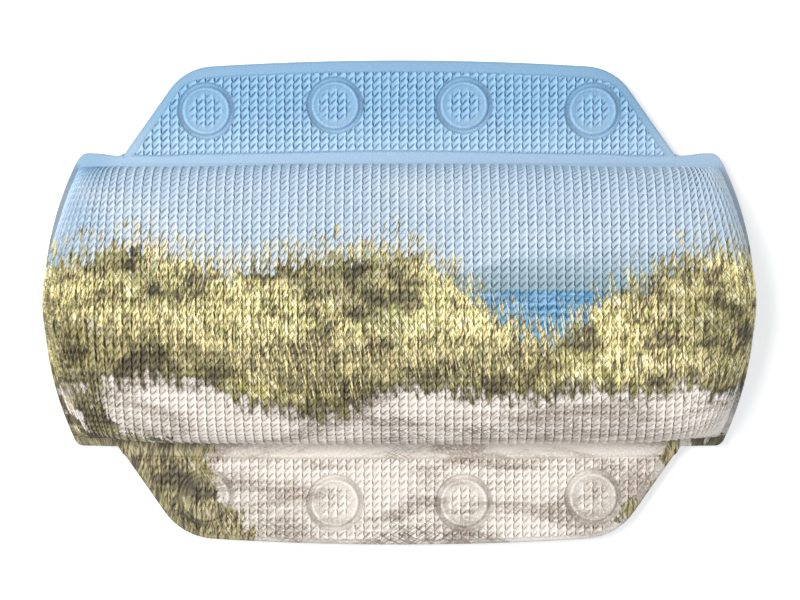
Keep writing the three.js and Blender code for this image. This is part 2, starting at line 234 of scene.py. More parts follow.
def tile_relief():
    """Height in metres, painted shading and sideways shift in tiles on one tile's grid, row by row from
    below

    Each column of tiles rises from a groove at its left to a ridge at its right. The groove is deepest at
    the middle of a tile and hooks to the right at its foot, where a thin slit climbs to the upper right."""
    column = np.arange(STEPS_ACROSS)[None, :]
    row = np.arange(STEPS_ALONG)[:, None]
    share = column / (STEPS_ACROSS - 1)
    swell = 0.5 - 0.5 * np.cos(2 * np.pi * row[:, 0] / STEPS_ALONG)
    height = 0.24 + 0.14 * share + 0.44 * share**2.4 + 0 * row
    # painted highlight, growing towards each column's ridge
    tone = 0.70 + 0.06 * share + 0.30 * share**3 + 0 * row
    height[:, -1] += 0.10 * swell - 0.05
    below = (column - 2) - (row - 1)  # steps from the slit towards the lower right
    climb = ((column - 2) + (row - 1)) / 2  # way up the slit
    window = smooth(climb, -0.8, 0.4) * (1 - smooth(climb, 4.2, 5.6))
    lip = 0.24 * np.exp(below / 1.4) * (below < 0)
    slit = np.interp(below, (-1, 0, 1, 2, 3), (0, 0.90, 0.55, 0.12, 0))
    height += window * (lip - 0.8 * slit)
    # painted highlight on the slit's lip and painted shade in the slit
    tone += window * (1.0 * lip - 0.95 * slit)
    groove = np.array((0.14, 0.34, 0.44, 0.46, 0.42, 0.34, 0.24, 0.12))
    height[:, 0] = 0.02 - groove
    height[:, 1] -= 0.3 * groove
    # painted shade in the groove and beside it
    tone[:, 0] = 0.62 - 1.45 * groove
    tone[:, 1] -= 0.55 * groove
    height[0, 1:3] -= (0.30, 0.22)
    # painted shade where the groove hooks at the tile's foot
    tone[0, 1:3] -= (0.42, 0.34)
    bend = np.array((0.10, 0.055, 0.015, -0.01, -0.02, -0.02, -0.015, 0.0))
    shift = np.zeros((STEPS_ALONG, STEPS_ACROSS))
    for place, part in ((0, 1.0), (1, 0.75), (2, 0.4), (STEPS_ACROSS - 2, 0.4), (STEPS_ACROSS - 1, 0.75)):
        shift[:, place] = bend * part
    return height * MM, tone, shift


def relief_grid(columns, rows, seed):
    """Relief in metres, painted shading and sideways shift, for whole tiles with one more line at the far
    sides
    """
    height, tone, shift = tile_relief()
    chance = np.random.default_rng(seed)
    strength = 1 + chance.uniform(-0.18, 0.14, (rows, columns))
    sway = chance.normal(0, 0.020, (rows, columns))
    strength, sway = (np.kron(grid, np.ones((STEPS_ALONG, STEPS_ACROSS))) for grid in (strength, sway))
    tall = np.tile(height, (rows, columns)) * strength
    tall += chance.normal(0, 0.022 * MM, tall.shape)
    # painted shading, as strong as the tile's relief
    shade = MIDDLE_SHADING + (np.tile(tone, (rows, columns)) - MIDDLE_SHADING) * strength
    wave = np.tile(shift, (rows, columns)) + sway
    return [np.pad(grid, ((0, 1), (0, 1)), "wrap") for grid in (tall, shade, wave)]


# The cushion's form


def section(half_width, height):
    """Arc length along the cushion's section from its crest, with distance and share of height"""
    turn = np.linspace(0, math.pi / 2, 4001)
    reach = half_width * np.sin(turn) ** (2 / SECTION_POWER)
    share = np.abs(np.cos(turn)) ** (2 / SECTION_POWER)
    share[-1] = 0
    steps = np.hypot(np.diff(reach), np.diff(height * share))
    return np.concatenate([[0], np.cumsum(steps)]), reach, share


def end_reach(y, inset):
    """How far an end's foot lies from the middle at depth y"""
    radius = (COVER_HIGH.y**2 + END_BOW**2) / (2 * END_BOW)
    return COVER_HIGH.x + END_OVER - radius + np.sqrt((radius - inset) ** 2 - y**2)


def crown(u, v, inset, base, sizes):
    """The cushion's surface at shares u and v from -1 to 1: x and y as distances from the middle, as if the
    ends were straight, how far an end stands out there, and z

    The sheet runs down each side and end by its own arc length, so that the tiles keep their size on it."""
    half_depth = sizes.cushion_half_depth - inset
    height = COVER_HIGH.z - inset - base
    half_length = COVER_HIGH.x - sizes.end_weld - inset
    length, reach, share = section(half_depth, height)
    straight = half_length - half_depth
    along = np.abs(v) * length[-1]
    y = np.interp(along, length, reach)
    side_share = np.interp(along, length, share)
    across = np.abs(u) * (straight + length[-1])
    past = np.maximum(0, across - straight)
    x = np.minimum(across, straight) + np.interp(past, length, reach)
    end_share = np.interp(past, length, share)
    # the photographed foot comes in towards the ends
    upper_pull = 0.007 + 0.020 * smooth(x, 30 * MM, 100 * MM)
    y = y * (1 - np.where(v > 0, upper_pull, 0.033 * smooth(x, 108 * MM, 138 * MM)))
    # an end stands out at its middle and leans back towards its corners
    near_corner = 1 - np.exp(-((y / (32 * MM)) ** 2))
    out = sizes.end_bulge * (0.3 - 1.55 * near_corner) * np.sin(np.pi * end_share**1.2)
    return x, y, out, base + height * end_share * side_share


def lean(x, y, inset, sizes):
    """x moved so that the outer columns follow the bowed end"""
    half_length = COVER_HIGH.x - sizes.end_weld - inset
    weight = smooth(x, LEAN_START, LEAN_END)
    return x + (end_reach(y, sizes.end_weld + inset) - half_length) * weight


def coarse_crown(inset, base, sizes):
    """Shares u and v of a coarse grid over the cushion, and its points"""
    u, v = np.meshgrid(*(np.linspace(-1, 1, count + 1) for count in COARSE))
    x, y, out, z = crown(u, v, inset, base, sizes)
    x = lean(x, y, inset, sizes) + out
    return u, v, np.stack([np.sign(u) * x, np.sign(v) * y, z], 2)


def settle(sizes):
    """How far a light cloth simulation moves the cushion's sheet under air from inside, on a coarse grid

    The sheet is held along its welds."""
    u, v, start = coarse_crown(0, WELD_LEVEL, sizes)
    mesh = grid_mesh("trial_sheet", *COARSE)
    set_points(mesh, start)
    sheet = link("trial_sheet", mesh)
    welded = np.flatnonzero(((np.abs(u) > 0.999) | (np.abs(v) > 0.999)).ravel())
    sheet.vertex_groups.new(name="welded").add(welded.tolist(), 1.0, "REPLACE")
    modifier = sheet.modifiers.new("Cloth", "CLOTH")
    modifier.collision_settings.use_collision = False
    cloth = modifier.settings
    cloth.quality = 6
    cloth.mass = 0.2
    cloth.tension_stiffness = cloth.compression_stiffness = 30
    cloth.shear_stiffness = 10
    cloth.bending_stiffness = 2
    cloth.use_pressure = True
    cloth.uniform_pressure_force = 1.0
    cloth.vertex_group_mass = "welded"
    cloth.effector_weights.gravity = 0
    for frame_number in range(1, SETTLE_FRAMES + 1):
        bpy.context.scene.frame_set(frame_number)
    moved = sheet.evaluated_get(bpy.context.evaluated_depsgraph_get()).data
    move = get_points(moved).reshape(start.shape) - start
    bpy.data.objects.remove(sheet)
    bpy.data.meshes.remove(mesh)
    bpy.context.scene.frame_set(1)
    size = np.linalg.norm(move, axis=2, keepdims=True)
    move *= np.minimum(1, SETTLE_CAP / np.maximum(size, 1e-9))
    move[:, :, 1] *= 0.7 - 0.6 * smooth(v, 0, 0.9)  # the long walls stay close to the measured section
    return move


def spread(move, u, v):
    """Values of a coarse grid at places u and v from -1 to 1"""
    rows, columns = move.shape[0] - 1, move.shape[1] - 1
    across = np.clip((u + 1) / 2 * columns, 0, columns - 1e-6)
    along = np.clip((v + 1) / 2 * rows, 0, rows - 1e-6)
    i, j = across.astype(int), along.astype(int)
    p, q = (across - i)[:, :, None], (along - j)[:, :, None]
    low = move[j, i] * (1 - p) + move[j, i + 1] * p
    high = move[j + 1, i] * (1 - p) + move[j + 1, i + 1] * p
    return low * (1 - q) + high * q


def surface_normals(points):
    """Unit normals of a grid of points"""
    du = np.gradient(points, axis=1)
    dv = np.gradient(points, axis=0)
    normals = np.cross(du, dv)
    return normals / np.maximum(np.linalg.norm(normals, axis=2, keepdims=True), 1e-12)


def tile_counts(sizes):
    """Whole tiles across and along the cushion's sheet, and half the sheet's two lengths"""
    length = section(sizes.cushion_half_depth, COVER_HIGH.z - WELD_LEVEL)[0][-1]
    half_length = COVER_HIGH.x - sizes.end_weld - sizes.cushion_half_depth + length
    across, along = round(half_length / sizes.tile_width), round(length / sizes.tile_length)
    return 2 * across, 2 * along, half_length, length


def cover_top(sizes):
    """Points, painted shading and print place of the cushion's outer surface and its welds, as grids"""
    columns, rows, half_u, half_v = tile_counts(sizes)
    wide, tall = columns * STEPS_ACROSS, rows * STEPS_ALONG
    band = len(BAND) - 1
    i = np.arange(-band, wide + band + 1)
    j = np.arange(-band, tall + band + 1)
    inner_i, inner_j = np.clip(i, 0, wide), np.clip(j, 0, tall)
    past_i, past_j = np.abs(i - inner_i), np.abs(j - inner_j)
    relief, tone, sway = (grid[np.ix_(inner_j, inner_i)] for grid in relief_grid(columns, rows, 4))

    # the embossing fades out at the edge of the texture, whose corners are rounded
    from_end = np.minimum(inner_i, wide - inner_i)[None, :] / STEPS_ACROSS + 0 * relief
    from_side = np.minimum(inner_j, tall - inner_j)[:, None] / STEPS_ALONG + 0 * relief
    corner = 1.7  # in tiles
    edge = corner - np.hypot(np.maximum(corner - from_end, 0), np.maximum(corner - from_side, 0))
    fade = smooth(edge, 0, 0.5)
    grid_u = (inner_i[None, :] + sway * STEPS_ACROSS * fade) / wide * 2 - 1
    grid_v = np.repeat(inner_j[:, None] / tall * 2 - 1, len(i), 1)
    x, y, out, z = crown(grid_u, grid_v, 0, WELD_LEVEL, sizes)

    # shares p and q of the weld at the ends and sides, rounded where the two meet
    p, q = BAND[past_i][None, :], BAND[past_j][:, None]
    most = np.maximum(np.maximum(p, q), 1e-9)
    roundness = ((p / most) ** 3 + (q / most) ** 3 + 1e-12) ** (-1 / 3)
    roundness = np.where((p > 0) & (q > 0), roundness, 1)
    p, q = p * roundness, q * roundness

    # the sides' outer edge: the split between the notches, and the ears' own edge past them
    x = lean(x, y, 0, sizes)
    is_ear = x >= sizes.flap_root
    beside = (np.abs(x - sizes.flap_root) < 0.33 * MM) & (q > 0)
    ear_edge = np.where(grid_v > 0, sizes.ear_depth, sizes.lower_ear_depth)
    rise = np.where(grid_v > 0, *EAR_RISE)
    ear_edge = ear_edge + rise * np.clip((x - sizes.flap_root) / EAR_RUN, 0, 1)
    notch_y = np.where(grid_v > 0, sizes.flap_notch, sizes.lower_flap_notch) + NOTCH_ROUND
    past_notch = smooth(x, sizes.flap_root, sizes.flap_root + NOTCH_REACH)
    ear_edge = ear_edge + (notch_y - ear_edge) * (1 - past_notch)
    edge_y = CUSHION_EDGE + (ear_edge - SPLIT) * is_ear
    foot_y = y
    y = y + (edge_y - y) * q
    drawn = end_reach(y, sizes.end_weld) - end_reach(foot_y, sizes.end_weld)
    x = x + drawn * smooth(x, 128 * MM, 143 * MM) + out + sizes.end_weld * p
    # what lies just beside a notch moves on to its straight side
    x = np.where(beside, sizes.flap_root + np.where(is_ear, 0.04, 0.02) * MM, x)
    outer = np.maximum(past_i[None, :], past_j[:, None])
    slope = WELD_SLOPE * p * (1 - np.clip(q * 2, 0, 1))
    z = np.minimum(z - slope - BAND_DROP[outer] * is_ear, np.where(outer == band, PARTING, 1))

    # all four quarters, settled and embossed
    points = np.stack([np.sign(grid_u) * x, np.sign(grid_v) * y, z], 2)
    points += spread(settle(sizes), grid_u, grid_v)
    taper = fade * np.where(outer == 0, 1, 0)
    points += surface_normals(points) * ((relief - sizes.relief / 2) * taper)[:, :, None]
    print_place = np.stack([grid_u * half_u, grid_v * half_v, np.zeros_like(z)], 2)
    print_place[:, :, 0] += np.sign(grid_u) * sizes.end_weld * p
    print_place[:, :, 1] += np.sign(grid_v) * PRINTED_WELD * q
    # painted shading: the tiles' painted shade and highlight, fading to none on the welds
    depth = tone * taper + WELD_SHADING * (1 - taper)
    shaded = np.where(grid_u < 0, 0.43, 0.15)  # painted shade on the end welds, stronger at the left end
    depth -= shaded * smooth(p, 0, 0.2) * (1 - np.clip(q * 2, 0, 1)) * (taper < 0.5)
    # painted light on the lower weld band, away from the ends
    depth += LOWER_PAINTED_LIGHT * smooth(q, 0, 0.3) * (grid_v < 0) * (1 - smooth(x, 100 * MM, 125 * MM))
    return points, depth, print_place


def bmesh_of(mesh):
    """A bmesh of a mesh, which is removed"""
    bm = bmesh.new()
    bm.from_mesh(mesh)
    bpy.data.meshes.remove(mesh)
    return bm


def of_kind(geometry, kind):
    """The elements of one kind"""
    return [element for element in geometry if isinstance(element, kind)]


def open_edges(bm):
    """Edges with one face or none"""
    return [edge for edge in bm.edges if len(edge.link_faces) < 2]


def draw_edges(bm, edges, level):
    """Draws edges straight up or down to a level and returns their new edges"""
    made = bmesh.ops.extrude_edge_only(bm, edges=edges)["geom"]
    for vertex in of_kind(made, bmesh.types.BMVert):
        vertex.co.z = level
    return of_kind(made, bmesh.types.BMEdge)


def fill(bm, edges, facing):
    """Flat triangles between loops of edges, facing up (1) or down (-1)"""
    made = bmesh.ops.triangle_fill(
        bm, use_beauty=True, use_dissolve=False, edges=edges, normal=(0, 0, facing)
    )
    return of_kind(made["geom"], bmesh.types.BMFace)


def merge_rim(bm):
    """Merges neighbours on the open rim that lie closer than a hair's breadth"""
    rim = [vertex for vertex in bm.verts if vertex.is_boundary]
    bmesh.ops.remove_doubles(bm, verts=rim, dist=HAIR)
    bmesh.ops.dissolve_degenerate(bm, edges=open_edges(bm), dist=0.01 * MM)


def finish_mesh(bm, name):
    """The bmesh as a smooth-shaded mesh"""
    mesh = bpy.data.meshes.new(name)
    bm.to_mesh(mesh)
    bm.free()
    mesh.shade_smooth()
    mesh.set_sharp_from_angle(angle=SHARP)
    return mesh


def inner_crown(inset, base, sizes):
    """A coarse grid below the cover, down to a level"""
    mesh = grid_mesh("inner", *COARSE)
    set_points(mesh, coarse_crown(inset, base, sizes)[2])
    return mesh


def build_cover(sizes):
    """The closed front sheet of the cushion"""
    points, depth, place = cover_top(sizes)
    rows, columns = depth.shape
    outer = grid_mesh("outer", columns - 1, rows - 1)
    set_points(outer, points)
    set_attribute(outer, "painted_relief_shading", depth.ravel())
    set_attribute(outer, "print_place", place.reshape(-1, 3))
    bm = bmesh_of(outer)
    merge_rim(bm)
    inner = inner_crown(sizes.front_sheet, PARTING, sizes)
    first = len(bm.faces)
    bm.from_mesh(inner)
    bm.faces.ensure_lookup_table()
    bmesh.ops.reverse_faces(bm, faces=bm.faces[first:])
    bpy.data.meshes.remove(inner)
    bmesh.ops.bridge_loops(bm, edges=open_edges(bm))
    bmesh.ops.recalc_face_normals(bm, faces=bm.faces)
    return finish_mesh(bm, "cushion_cover")


def build_foam(sizes):
    """The foam block, a little smaller than the room under the cover"""
    bm = bmesh_of(inner_crown(sizes.front_sheet + 0.4 * MM, PARTING + 0.05 * MM, sizes))
    fill(bm, open_edges(bm), -1)
    return finish_mesh(bm, "cushion_foam")


# The flaps


def arc_points(centre, radius, start, end, count):
    """Points on an arc"""
    angles = np.linspace(start, end, count)
    return np.stack([centre[0] + radius * np.cos(angles), centre[1] + radius * np.sin(angles)], 1)


def flap_outline(sizes, side, step=0.1 * MM):
    """A flap's outline in plan, placed as the upper one, as even points from its root's right end on"""
    notch_y, radius = sizes.flap_notch, sizes.flap_corner
    if side < 0:
        notch_y, radius = sizes.lower_flap_notch, sizes.lower_flap_corner
    root = sizes.flap_root
    inward = np.array([-math.cos(FLAP_SLANT), -math.sin(FLAP_SLANT)])
    along = np.array([-math.sin(FLAP_SLANT), math.cos(FLAP_SLANT)])
    notch = np.array([root, notch_y])
    arch_centre = np.array([0, FLAP_HIGH.y - sizes.flap_arch])
    base = notch + inward * radius
    gap = base - arch_centre
    reach = sizes.flap_arch - radius
    b = gap @ along
    travel = -b + math.sqrt(b * b - gap @ gap + reach * reach)
    corner = base + along * travel
    arch_angle = math.atan2(corner[1] - arch_centre[1], corner[0] - arch_centre[0])
    half = np.concatenate(
        [
            [[root, FLAP_EDGE], [root, notch_y + NOTCH_ROUND]],
            notch + along * np.array([[1.1], [2.1]]) * MM + inward * np.array([[-0.18], [-0.05]]) * MM,
            arc_points(corner, radius, FLAP_SLANT, arch_angle, 24),
            arc_points(arch_centre, sizes.flap_arch, arch_angle, math.pi / 2, 40)[1:],
        ]
    )
    whole = np.concatenate([half, half[-2::-1] * (-1, 1), half[:1]])
    lengths = np.concatenate([[0], np.cumsum(np.linalg.norm(np.diff(whole, axis=0), axis=1))])
    at = np.linspace(0, lengths[-1], int(lengths[-1] / step), endpoint=False)
    return np.stack([np.interp(at, lengths, whole[:, 0]), np.interp(at, lengths, whole[:, 1])], 1)


def cup_centre(node):
    """Centre of a suction cup in plan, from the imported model"""
    low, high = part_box(node)
    return (low[0] + high[0]) / 2, (low[1] + high[1]) / 2


def cup_places():
    """Centres of the upper flap's cups"""
    return np.array([cup_centre(f"upper_suction_cup_{number + 1}") for number in range(CUPS_PER_FLAP)])


def inside_outline(x, y, outline):
    """Whether points lie inside the flap's outline"""
    right = outline[(outline[:, 0] >= 0) & (outline[:, 1] > SPLIT + MM)]
    order = np.argsort(right[:, 0])
    top = np.interp(np.abs(x), right[order, 0], right[order, 1])
    return (y <= top) & (np.abs(x) <= right[:, 0].max())


def nearest(points, outline):
    """Distance to the outline and the nearest place on it, for each point in plan"""
    tree = KDTree(len(outline))
    for index, place in enumerate(outline):
        tree.insert((place[0], place[1], 0), index)
    tree.balance()
    found = [tree.find((px, py, 0)) for px, py in points]
    return np.array([hit[2] for hit in found]), np.array([tuple(hit[0]) for hit in found])


def flap_height(x, y, distance, closest, relief, tone, start, side, sizes):
    """Height of a flap's front, the share of relief left and its painted shading, by place and nearest edge
    """

    # the free edge is rounded, and droops a little at the outer corners
    rounding = 0.9 * MM
    away = np.clip(1 - distance / rounding, 0, 1)
    free_edge = smooth(y, 66 * MM, 67 * MM)
    z = WELD_LEVEL - rounding * (1 - np.sqrt(1 - away**2)) * free_edge
    droop = 0.5 * (1 - smooth(distance, 0, 4 * MM)) * smooth(np.abs(x), 85 * MM, 100 * MM) * free_edge
    z -= droop * MM

    # the raised field lies inside a smooth border, whose width goes by the side that it faces
    facing = np.degrees(np.arctan2(closest[:, 1] - y, np.abs(closest[:, 0]) - np.abs(x)))
    outer_border = sizes.flap_border if side > 0 else sizes.lower_flap_border
    border = sizes.flap_side_border + (outer_border - sizes.flap_side_border) * smooth(facing, 45, 80)
    into_field = np.minimum(distance - border, y - start)
    field = smooth(into_field, 0, 0.8 * MM)
    z += (FIELD_LEVEL - WELD_LEVEL) * field
    texture = smooth(into_field, 0.1 * MM, 0.7 * MM)
    # the tiles' painted shade and highlight, weaker on the lower flap
    tone = MIDDLE_SHADING + FLAP_SHADING_STRENGTH[side] * (tone - MIDDLE_SHADING)

    # painted shade: the weld is a little darker where the flap droops and at the field's foot
    foot = np.exp(-(((into_field - 0.15 * MM) / (0.4 * MM)) ** 2)) * (y < start + 2 * MM)
    # painted light on the lower flap's weld, next to the cushion
    plain = WELD_SHADING + (0 if side > 0 else LOWER_PAINTED_LIGHT * (1 - smooth(y, start, start + 2 * MM)))
    painted_shading = np.minimum(plain - 0.16 * droop, plain - 0.3 * foot)

    # each ring is a groove with a bead along its inner side, round a middle that keeps its tiles
    ring_end = sizes.ring_outer + RING_MARGIN
    for cup_x, cup_y in cup_places() + (0, RING_MOVE[side]):
        r = np.hypot(x - cup_x, y - cup_y)
        # its painted shade and painted highlight are strongest along one slanting line
        slanting = np.abs(np.cos(np.arctan2(y - cup_y, x - cup_x) - math.radians(22))) ** 1.5
        groove = smooth(r, sizes.ring_inner - 0.1 * MM, sizes.ring_inner + 0.5 * MM)
        groove *= 1 - smooth(r, sizes.ring_outer - 0.5 * MM, sizes.ring_outer + 0.1 * MM)
        z -= sizes.ring_depth * groove
        bead = np.exp(-(((r - sizes.ring_inner + 0.9 * MM) / (0.7 * MM)) ** 2))
        z += 0.35 * MM * bead
        z -= 0.25 * MM * smooth(sizes.ring_inner - r, 1.0 * MM, 3.0 * MM)
        flattened = smooth(r, 5.8 * MM, 8.6 * MM) * (1 - smooth(r, ring_end - 0.5 * MM, ring_end))
        texture = texture * (1 - 0.90 * flattened)
        # painted shade in the groove and painted highlight on the bead
        ring_painted_shading = WELD_SHADING - (0.12 + 0.38 * slanting) * groove + (0.12 + 0.18 * slanting) * bead
        painted_shading = np.where(r < ring_end, ring_painted_shading, painted_shading)
    tone = tone * texture + painted_shading * (1 - texture)
    return z + (relief - sizes.relief / 2) * texture, texture, tone


def build_flap_front(sizes, side):
    """A flap's front sheet, placed as the upper one: a grid cut to its outline and closed below"""
    outline = flap_outline(sizes, side)
    step_x, step_y = sizes.tile_width / STEPS_ACROSS, sizes.tile_length / STEPS_ALONG
    tiles_across = 2 * math.ceil(sizes.flap_root / sizes.tile_width)
    tiles_along = math.ceil((FLAP_HIGH.y - SPLIT) / sizes.tile_length)
    columns, rows = tiles_across * STEPS_ACROSS, tiles_along * STEPS_ALONG
    relief, tone, sway = relief_grid(tiles_across, tiles_along, 11 + side)
    if side < 0:
        relief, tone, sway = relief[::-1, ::-1], tone[::-1, ::-1], -sway[::-1, ::-1]
    i, j = np.meshgrid(np.arange(columns + 1), np.arange(rows + 1))
    x = (i - columns / 2) * step_x
    y = FLAP_EDGE + j * step_y
    mesh = grid_mesh("flap", columns, rows)
    set_points(mesh, np.stack([x, y, np.zeros_like(x)], 2))
    bm = bmesh_of(mesh)
    layer = bm.verts.layers.int.new("grid_index")
    for index, vertex in enumerate(bm.verts):
        vertex[layer] = index

    # squares outside the outline go, and the rim moves on to the outline
    centre_x = (x[:-1, :-1] + x[1:, 1:]).ravel() / 2
    centre_y = (y[:-1, :-1] + y[1:, 1:]).ravel() / 2
    kept = inside_outline(centre_x, centre_y, outline)
    bm.faces.ensure_lookup_table()
    outside = [bm.faces[k] for k in np.flatnonzero(~kept)]
    bmesh.ops.delete(bm, geom=outside, context="FACES")
    bm.verts.index_update()
    index = np.array([vertex[layer] for vertex in bm.verts])
    place = np.stack([x.ravel()[index], y.ravel()[index]], 1)
    rim = np.array([vertex.is_boundary for vertex in bm.verts])
    distance, closest = nearest(place, outline)
    place[rim] = closest[rim][:, :2]
    distance[rim] = 0
    moved = sway.ravel()[index] * sizes.tile_width
    beside = np.abs(place[:, 0])

    # the raised field starts nearer to the cushion towards its ends
    if side > 0:
        start = sizes.field_start - 1.3 * MM * smooth(beside, 0, 90 * MM)
        start -= 1.4 * MM * smooth(beside, 90 * MM, 115 * MM)
    else:
        start = sizes.lower_field_start - 0.9 * MM * smooth(beside, 60 * MM, 110 * MM)
    relief, tone = relief.ravel()[index], tone.ravel()[index]
    height, texture, tone = flap_height(*place.T, distance, closest, relief, tone, start, side, sizes)
    place[:, 0] += moved * texture * ~rim
    shading_layer = bm.verts.layers.float.new("painted_relief_shading")
    for vertex, spot, z, value in zip(bm.verts, place, height, tone):
        vertex.co = (spot[0], spot[1], z)
        vertex[shading_layer] = value
    bm.verts.layers.int.remove(bm.verts.layers.int["grid_index"])
    merge_rim(bm)
    close_flap_below(bm)
    return finish_mesh(bm, "flap_front")


def ring_edges(bm, centre, radius, level):
    """A circle of edges"""
    place = Matrix.Translation((*centre, level))
    made = bmesh.ops.create_circle(bm, segments=RING_STEPS, radius=radius, cap_ends=False, matrix=place)
    return list(dict.fromkeys(edge for vertex in made["verts"] for edge in vertex.link_edges))


def close_flap_below(bm):
    """Draws the rim down to the parting plane and closes it there, with a pocket over each cup"""
    draw_edges(bm, open_edges(bm), PARTING)
    rim = open_edges(bm)
    pockets = [ring_edges(bm, centre, POCKET_RADIUS, PARTING) for centre in cup_places()]
    bottom = fill(bm, rim + sum(pockets, []), -1)
    for ring in pockets:
        bmesh.ops.contextual_create(bm, geom=draw_edges(bm, ring, PARTING + POCKET_DEPTH))
    cut_for_fold(bm, bottom)


def crosses(face, y):
    """Whether a face lies on both sides of a depth"""
    depths = [vertex.co.y for vertex in face.verts]
    return min(depths) < y < max(depths)


def cut_for_fold(bm, faces):
    """Cuts flat faces across at the fold, so that they can bend there"""
    faces = dict.fromkeys(faces)
    for y in np.linspace(FOLD_START, FOLD_END, FOLD_CUTS):
        near = [face for face in faces if face.is_valid and crosses(face, y)]
        near += dict.fromkeys(part for face in near for part in (*face.edges, *face.verts))
        result = bmesh.ops.bisect_plane(
            bm, geom=near, dist=1e-7, plane_co=(0, float(y), 0), plane_no=(0, 1, 0)
        )
        faces.update(dict.fromkeys(of_kind(result["geom"], bmesh.types.BMFace)))


def turn_over(mesh, side):
    """The lower flap is the upper one turned half round"""
    if side < 0:
        mesh.transform(Matrix.Rotation(math.pi, 4, "Z"))


def set_flap_print(mesh, sizes):
    """Print place of a flap: the print runs on from the cushion's sheet"""
    points = get_points(mesh)
    half_v = tile_counts(sizes)[3]
    place = np.zeros_like(points)
    place[:, 0] = points[:, 0]
    place[:, 1] = np.sign(points[:, 1]) * (np.abs(points[:, 1]) - sizes.cushion_half_depth + half_v)
    set_attribute(mesh, "print_place", place)


def draw_ring(bm, edges, centre, radius, level):
    """Draws a circle of open edges on to another radius and level, and returns its new edges"""
    made = bmesh.ops.extrude_edge_only(bm, edges=edges)["geom"]
    for vertex in of_kind(made, bmesh.types.BMVert):
        flat = Vector((vertex.co.x - centre[0], vertex.co.y - centre[1])).normalized() * radius
        vertex.co = (centre[0] + flat.x, centre[1] + flat.y, level)
    return of_kind(made, bmesh.types.BMEdge)


def outline_edges(bm, points, level):
    """A closed loop of edges through points in plan"""
    verts = [bm.verts.new((px, py, level)) for px, py in points]
    return [bm.edges.new((verts[k - 1], verts[k])) for k in range(len(verts))]


def build_flap_back(sizes, side):
    """A flap's back sheet, placed as the upper one, with four holes and the rings pushed in from behind"""
    outside = sizes.ring_outer + RING_MARGIN
    bm = bmesh.new()
    edges = outline_edges(bm, flap_outline(sizes, side, step=1.5 * MM), BOTTOM)
    rings = [(centre, ring_edges(bm, centre, outside, BOTTOM)) for centre in cup_places()]
    fill(bm, edges + [edge for _, ring in rings for edge in ring], -1)
    for centre, ring in rings:
        for radius, lift in BACK_RING:
            ring = draw_ring(bm, ring, centre, radius * MM, BOTTOM + lift * MM)
        ring = draw_ring(bm, ring, centre, radius * MM, PARTING)
        draw_ring(bm, ring, centre, outside, PARTING)
    rim = [edge for edge in open_edges(bm) if all(abs(end.co.z - BOTTOM) < 1e-7 for end in edge.verts)]
    draw_edges(bm, rim, PARTING)
    fill(bm, open_edges(bm), 1)
    bmesh.ops.recalc_face_normals(bm, faces=bm.faces)
    cut_for_fold(bm, list(bm.faces))
    return finish_mesh(bm, "flap_back")


def flange_outline(sizes):
    """The cushion's plan: bowed ends, rounded ears, and straight between the notches"""
    ear_x = sizes.flap_root + 0.4 * MM
    corner_y = COVER_HIGH.y - EAR_CORNER
    corner_x = end_reach(corner_y, 0)
    points = [(end_reach(y, 0), y) for y in np.linspace(0, corner_y, 40)]
    slope = math.atan2(corner_y, corner_x)
    centre = (corner_x - EAR_CORNER * math.cos(slope), corner_y - EAR_CORNER * math.sin(slope))
    points += [*arc_points(centre, EAR_CORNER, slope, math.pi / 2, 8)[1:]]
    points += [(ear_x, points[-1][1])]
    points += [(x, CUSHION_EDGE) for x in np.linspace(ear_x, 0, 60)]
    return whole_of(points)


def whole_of(quarter):
    """All round from one quarter's points in plan"""
    quarter = np.array(quarter)
    upper = np.concatenate([quarter, quarter[-2::-1] * (-1, 1)])
    return np.concatenate([upper, upper[-2:0:-1] * (1, -1)])


def weld_line(sizes, inset):
    """A loop in plan inside the cushion's foot, along the weld"""
    depth = sizes.cushion_half_depth - inset
    quarter = [(end_reach(y, sizes.end_weld + inset), y) for y in np.linspace(0, depth - FOOT_CORNER, 30)]
    corner = np.array(quarter[-1]) - (FOOT_CORNER, 0)
    quarter += [*arc_points(corner, FOOT_CORNER, 0, math.pi / 2, 8)[1:]]
    quarter += [(x, depth) for x in np.linspace(quarter[-1][0], 0, 60)[1:]]
    return whole_of(quarter)


def build_cushion_back(sizes):
    """The plain sheet below the cushion, with its weld line pushed in from behind"""
    bm = bmesh.new()
    rim = outline_edges(bm, flange_outline(sizes), BOTTOM)
    loops = [
        outline_edges(bm, weld_line(sizes, inset * MM), BOTTOM + lift * MM) for inset, lift in BACK_WELD
    ]
    for edges in (rim + loops[0], loops[-1]):
        fill(bm, edges, -1)
    for outside, inside in zip(loops, loops[1:]):
        bmesh.ops.bridge_loops(bm, edges=outside + inside)
    draw_edges(bm, open_edges(bm), PARTING)
    fill(bm, open_edges(bm), 1)
    bmesh.ops.recalc_face_normals(bm, faces=bm.faces)
    return finish_mesh(bm, "cushion_back")


# The suction cups

CUP_PROFILE = (  # radius and level in millimetres of one half section, from the hollow to the flange's top
    (0, 6.1), (2.5, 6.1), (5.0, 5.7), (7.5, 4.75), (10.0, 3.3), (12.5, 1.75), (14.4, 0.55), (15.6, 0.02),
    (16.6, 0.0), (17.15, 0.12), (17.2, 0.4), (17.0, 0.68), (16.2, 0.78), (15.0, 1.2), (13.0, 2.5),
    (11.0, 4.1), (9.2, 5.5), (7.9, 6.6), (7.3, 7.3), (7.2, 8.1), (7.2, 8.5), (6.9, 8.95), (6.4, 9.2),
    (4.8, 9.25), (4.35, 9.45), (4.3, 9.8), (4.3, 10.7), (4.4, 10.98), (4.8, 11.1), (9.0, 11.1),
    (9.5, 11.25), (9.6, 11.6), (9.55, 12.05), (9.2, 12.28), (8.6, 12.3), (3.0, 12.3), (1.2, 12.2),
    (0, 12.15),
)
SPIN_STEPS = 72


